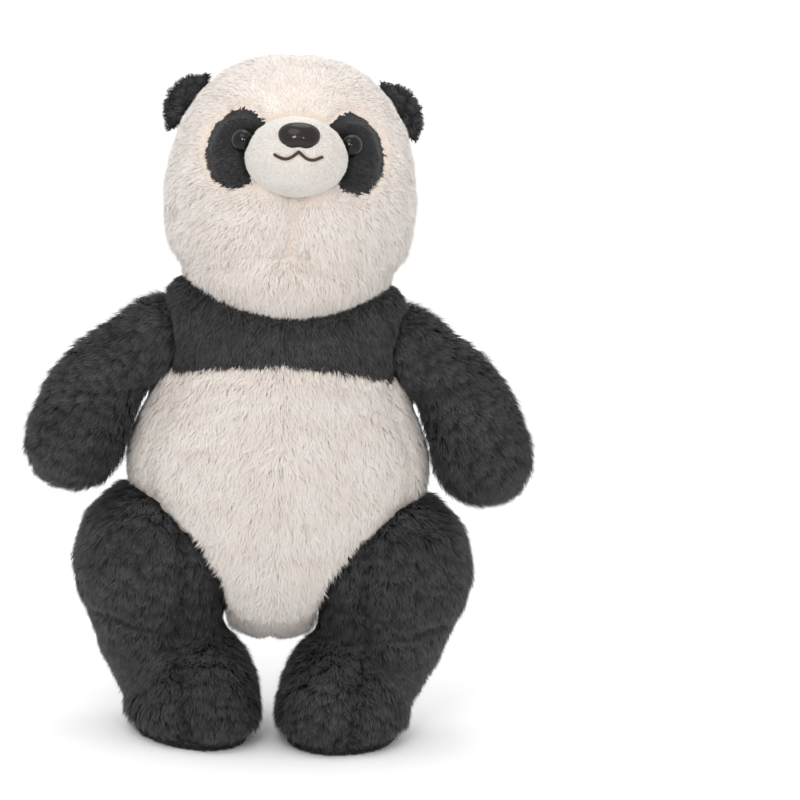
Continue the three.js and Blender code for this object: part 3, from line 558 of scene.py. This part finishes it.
def clearances(body, co, n, reach):
    """How far the fur can stand before it meets another body; 0 where it starts inside one."""
    out = np.full(len(co), reach)
    for other, tree in trees.items():
        if other == body:
            continue
        low = skins[other].co.min(0) - reach
        high = skins[other].co.max(0) + reach
        near = np.flatnonzero(((co > low) & (co < high)).all(1))
        for i in near:
            hit, normal, _, distance = tree.ray_cast(Vector(co[i]), Vector(n[i]), reach * 4)
            if hit is None:
                continue
            if normal.dot(Vector(n[i])) > 0:
                out[i] = 0
            else:
                out[i] = min(out[i], distance)
    return out


# The fur of a body with a lower number lies over the fur of one with a higher number.
RANK = {"muzzle": 0, "ear": 1, "head": 1, "arm": 2, "leg": 2, "torso": 3}


def room_beside(body, co, reach):
    """How near each vertex is to the bodies whose fur lies over this one's."""
    out = np.full(len(co), 1.0)
    mine = RANK[body.split("_")[0]]
    for other, tree in trees.items():
        if RANK[other.split("_")[0]] >= mine:
            continue
        low = skins[other].co.min(0) - reach
        high = skins[other].co.max(0) + reach
        for i in np.flatnonzero(((co > low) & (co < high)).all(1)):
            hit, _, _, distance = tree.find_nearest(Vector(co[i]), reach)
            if hit is not None:
                out[i] = min(out[i], distance)
    return out


DENSITY = 2.0e6  # strands to a square metre
MUZZLE_DENSITY = 4.5e6
WHITE_NODES = ("head_face_left", "head_face_right", "head_back", "neck_collar",
               "belly_panel", "side_panel_left", "side_panel_right")
for body, skin in skins.items():
    kind = body.split("_")[0]
    rng = np.random.default_rng(sum(map(ord, body)))
    names = PANELS.get(body, ["muzzle_cover"])
    if body == "muzzle":
        home = np.zeros(len(skin.tri), int)
        seam = np.zeros(len(skin.co))
    else:
        above = np.array([1.8 * MM if "patch" in node else 0 for node in names])
        centres = skin.co[skin.tri].mean(1)
        home = (distances(centres, names) - above).argmin(1)
        at_vertex = np.sort(distances(skin.co, names) - above, axis=1)
        seam = np.exp(-(((at_vertex[:, 1] - at_vertex[:, 0]) / (3.2 * MM)) ** 2))
    strength = np.ones(len(skin.co))
    if body == "head":
        face = (np.abs(skin.co[:, 0]) < 0.012) & (skin.co[:, 1] < HEAD[1])
        strength[face & (skin.co[:, 2] > MUZZLE[2])] = 0.15
        strength[skin.co[:, 1] >= HEAD[1] - 0.02] = 0.4
        strength[(skin.co[:, 2] < MUZZLE[2] - 0.03) & (np.abs(skin.co[:, 0]) > 0.012)] = 0.3
    if body == "torso":
        strength[:] = 0.6
        strength[skin.co[:, 2] < 0.095] = 0.35
    seam = seam * strength
    skin.co -= skin.normal * seam[:, None] * (0.2 if kind == "ear" else 2.6) * MM
    skin.renormal()
    reach = (LENGTH[kind] if kind in LENGTH else 2.2) * MM
    free = clearances(body, skin.co, skin.normal, reach)
    length = np.full(len(skin.co), reach)
    length *= 1 - 0.5 * seam
    if body == "head":
        near = np.linalg.norm(skin.co - MUZZLE, axis=1)
        length *= np.clip(near / 0.075, 0.62, 1)
        crown = np.clip((skin.co[:, 2] - HEAD[2] - 0.005) / 0.03, 0, 1)
        length *= 1 - 0.35 * crown
        for apex, out in EYES.values():
            length *= np.clip(np.linalg.norm(skin.co - apex, axis=1) / 0.019, 0.25, 1)
    if kind == "leg":
        length *= np.clip(skin.co[:, 2] / 0.012, 0.35, 1)
    beside = room_beside(body, skin.co, reach)
    length = np.minimum(length, np.maximum(np.minimum(free, 0.9 * beside), 1.6 * MM))
    cover = np.where(free <= 0.2 * MM, 0.25, 1.0)
    flow = flow_of(body, skin.co, skin.normal)
    rise = np.full(len(skin.co), {"head": 0.42, "torso": 0.46, "muzzle": 0.52}.get(body, 0.66))
    pull = np.full(len(skin.co), {"muzzle": 0.1, "head": 0.9, "torso": 1.0}.get(body, 2.6))
    if body == "head":
        rise -= 0.14 * crown
        pull *= 1 - 0.8 * crown
        flow = flow + np.sign(skin.co[:, :1]) * seam[:, None] * np.array([[1.2, 0, 0]])
    facts = {
        "flow": flow,
        "length": length,
        "width": np.full(len(skin.co), (0.52 if kind != "muzzle" else 0.4) * MM),
        "rise": rise + 0.18 * (noise(skin.co, 9 * MM, 5) - 0.5),
        # the tint is lowered along seams: painted shade where the pile parts
        "shade": np.clip(0.25 + 0.6 * noise(skin.co, np.array([16, 16, 7]) * MM, 6) - 0.3 * seam, 0, 1),
        "tuft": (5.0 if body in ("head", "torso") else 6.5) * MM,
        "pull": pull * MM,
        "cover": cover,
    }
    for j, node in enumerate(names):
        faces = np.flatnonzero(home == j)
        if body == "muzzle":
            material, density = CREAM, MUZZLE_DENSITY
        elif node in WHITE_NODES:
            material, density = WHITE, DENSITY
        else:
            material, density = BLACK, DENSITY
        piece = furry(f"{node}_fur", skin, faces, facts, material, density, rng)
        covered = [node] + (EXTRA.get(body, []) if j == 0 else [])
        if body == "muzzle":
            covered.append("muzzle_stuffing")
        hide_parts(*covered)
        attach(piece, "head" if body == "muzzle" else body)


# ------------------------------------------------------------------ eyes, nose, mouth
def frame_of(out):
    """Side, up and out as the columns of a rotation."""
    up = unit(np.array([0, 0, 1.0]) - out * out[2])
    return np.stack([np.cross(up, out) * -1, up, out], 1)


def plain_mesh(name, verts, faces, material, smooth=True):
    mesh = bpy.data.meshes.new(name)
    mesh.from_pydata([tuple(v) for v in verts], [], faces)
    mesh.validate()
    mesh.polygons.foreach_set("use_smooth", np.full(len(mesh.polygons), smooth))
    mesh.materials.append(material)
    bm = bmesh.new()
    bm.from_mesh(mesh)
    bmesh.ops.recalc_face_normals(bm, faces=bm.faces)
    bm.to_mesh(mesh)
    bm.free()
    obj = bpy.data.objects.new(name, mesh)
    bpy.context.scene.collection.objects.link(obj)
    return obj


def domed(name, apex, out, outline, profile, material):
    """A closed button: rings of outline(angle) scaled and raised as profile says, apex at the front."""
    basis = frame_of(out)
    columns = 48
    rings, verts, faces = [], [], []
    for scale, height in profile:
        ring = []
        for i in range(columns):
            x, y = outline(2 * math.pi * i / columns)
            verts.append(apex + basis @ np.array([x * scale, y * scale, height]))
            ring.append(len(verts) - 1)
        rings.append(ring)
    for a, b in zip(rings[:-1], rings[1:]):
        for i in range(columns):
            j = (i + 1) % columns
            faces.append((a[i], a[j], b[j], b[i]))
    faces.append(tuple(rings[0]))
    verts.append(apex)
    for i in range(columns):
        faces.append((rings[-1][i], rings[-1][(i + 1) % columns], len(verts) - 1))
    return plain_mesh(name, verts, faces, material)


def dome_profile(depth, rim, steps=14):
    rows = [(0.35, -depth - rim), (0.86, -depth - rim), (0.98, -depth - rim * 0.55)]
    for i in range(steps):
        turn = (i / steps) * math.pi / 2
        rows.append((math.cos(turn), -depth + depth * math.sin(turn)))
    return rows


EYE_RADIUS = 6.3 * MM
for side, _ in SIDES:
    apex, out = EYES[side]
    eye = domed(f"eye_{side}_dome", apex, out,
                lambda a: (EYE_RADIUS * math.cos(a), EYE_RADIUS * math.sin(a)),
                dome_profile(5.2 * MM, 1.4 * MM), GLOSS_BLACK)
    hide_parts(f"eye_{side}")
    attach(eye, "head")


NOSE_HALF_WIDTH = 11.6 * MM
NOSE_HALF_HEIGHT = 8.2 * MM


def nose_outline(a):
    x, y = math.cos(a), math.sin(a)
    wide = NOSE_HALF_WIDTH * (1 + 0.10 * y)
    notch = 1 - 0.10 * math.exp(-(((a / math.pi - 1.5) / 0.09) ** 2))
    return (wide * math.copysign(abs(x) ** 0.9, x) * notch,
            NOSE_HALF_HEIGHT * math.copysign(abs(y) ** 0.95, y) * notch)


nose = domed("nose_dome", NOSE, NOSE_OUT, nose_outline,
             dome_profile(6.0 * MM, 1.6 * MM, 16), GLOSS_BROWN)
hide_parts("nose")
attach(nose, "head")


def stitched(name, path, material):
    """Overlapping slanted stitches, each a small rounded bar."""
    steps = 46
    at = np.linspace(0, len(path) - 1, steps)
    line = np.stack([np.interp(at, np.arange(len(path)), path[:, i]) for i in range(3)], 1)
    verts, faces = [], []
    for i in range(steps - 1):
        a, b = line[i], line[i + 1]
        along = unit(b - a)
        out = unit((a + b) / 2 - (MUZZLE + np.array([0, 0.02, 0])))
        side = np.cross(along, out)
        aim = unit(along + side * 0.35)
        wide = np.cross(aim, out)
        centre = (a + b) / 2 + out * 1.1 * MM
        base = len(verts)
        for k, s in ((-1, 0.25), (-0.6, 0.85), (0, 1), (0.6, 0.85), (1, 0.25)):
            for m in range(8):
                turn = 2 * math.pi * m / 8
                verts.append(centre + aim * k * 1.25 * MM
                             + wide * math.cos(turn) * s * 0.85 * MM + out * math.sin(turn) * s * 0.7 * MM)
        for r in range(4):
            for m in range(8):
                n = (m + 1) % 8
                faces.append((base + r * 8 + m, base + r * 8 + n, base + r * 8 + 8 + n, base + r * 8 + 8 + m))
        faces.append(tuple(base + m for m in range(8)))
        faces.append(tuple(base + 32 + m for m in range(8)))
    return plain_mesh(name, verts, faces, material)


mouth = stitched("mouth_thread", MOUTH, THREAD)
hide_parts("mouth_stitch")
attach(mouth, "head")

for name in ("neck_wad", "shoulder_wad_left", "shoulder_wad_right"):
    NODES[name].data.materials.clear()
    NODES[name].data.materials.append(FIBRE)
for name in ("nose_washer", "eye_washer_left", "eye_washer_right"):
    NODES[name].data.materials.clear()
    NODES[name].data.materials.append(PLASTIC)

# ------------------------------------------------------------------ floor, light, camera
floor_mesh = bpy.data.meshes.new("floor")
FAR = 40
floor_mesh.from_pydata([(-FAR, -FAR, 0), (FAR, -FAR, 0), (FAR, FAR, 0), (-FAR, FAR, 0)], [], [(0, 1, 2, 3)])
floor = bpy.data.objects.new("floor", floor_mesh)
bpy.context.scene.collection.objects.link(floor)
floor_material = spotted_material("floor", (0.94, 0.94, 0.94), (0.97, 0.97, 0.97), 0.4, 0.9)
floor_mesh.materials.append(floor_material)

world = bpy.data.worlds.new("world")
bpy.context.scene.world = world
world.use_nodes = True
world.node_tree.nodes["Background"].inputs["Color"].default_value = (1, 1, 1, 1)
world.node_tree.nodes["Background"].inputs["Strength"].default_value = 1.07


def area_light(name, place, target, size, power):
    light = bpy.data.lights.new(name, "AREA")
    light.shape = "DISK"
    light.size = size
    light.energy = power
    obj = bpy.data.objects.new(name, light)
    bpy.context.scene.collection.objects.link(obj)
    obj.location = place
    obj.rotation_euler = (Vector(target) - Vector(place)).to_track_quat("-Z", "Y").to_euler()


area_light("key", (-0.35, -0.9, 1.5), (0, 0, 0.2), 0.9, 3.5)
area_light("top", (0.1, 0.2, 1.6), (0, 0, 0.2), 0.8, 2.5)
area_light("spark_left", (-0.28, -1.2, 0.75), (0, 0, 0.35), 0.3, 4)
area_light("spark_right", (0.20, -1.2, 0.62), (0, 0, 0.35), 0.12, 1.0)

ELEVATION = math.radians(7)
AZIMUTH = math.radians(2.0)
ROLL = math.radians(2.7)
DISTANCE = 1.3
camera_data = bpy.data.cameras.new("camera")
camera = bpy.data.objects.new("camera", camera_data)
bpy.context.scene.collection.objects.link(camera)
aim = Vector((0, JOINTS["neck_turn"]["pos_m"][1], 0.200))
back = Vector((-math.sin(AZIMUTH) * math.cos(ELEVATION), -math.cos(AZIMUTH) * math.cos(ELEVATION),
               math.sin(ELEVATION)))
camera.location = aim + back * DISTANCE
look = (-back).to_track_quat("-Z", "Y")
camera.rotation_mode = "QUATERNION"
camera.rotation_quaternion = look @ Matrix.Rotation(ROLL, 4, "Z").to_quaternion()
camera_data.sensor_width = 36
PIXELS = 800
PIXEL_SIZE = 0.6 * MM  # of the photograph, at the toy
camera_data.lens = camera_data.sensor_width / (PIXELS * PIXEL_SIZE / DISTANCE)
camera_data.shift_x = 0.149
camera_data.shift_y = 0.003
bpy.context.scene.camera = camera
bpy.context.scene.view_settings.view_transform = "Standard"
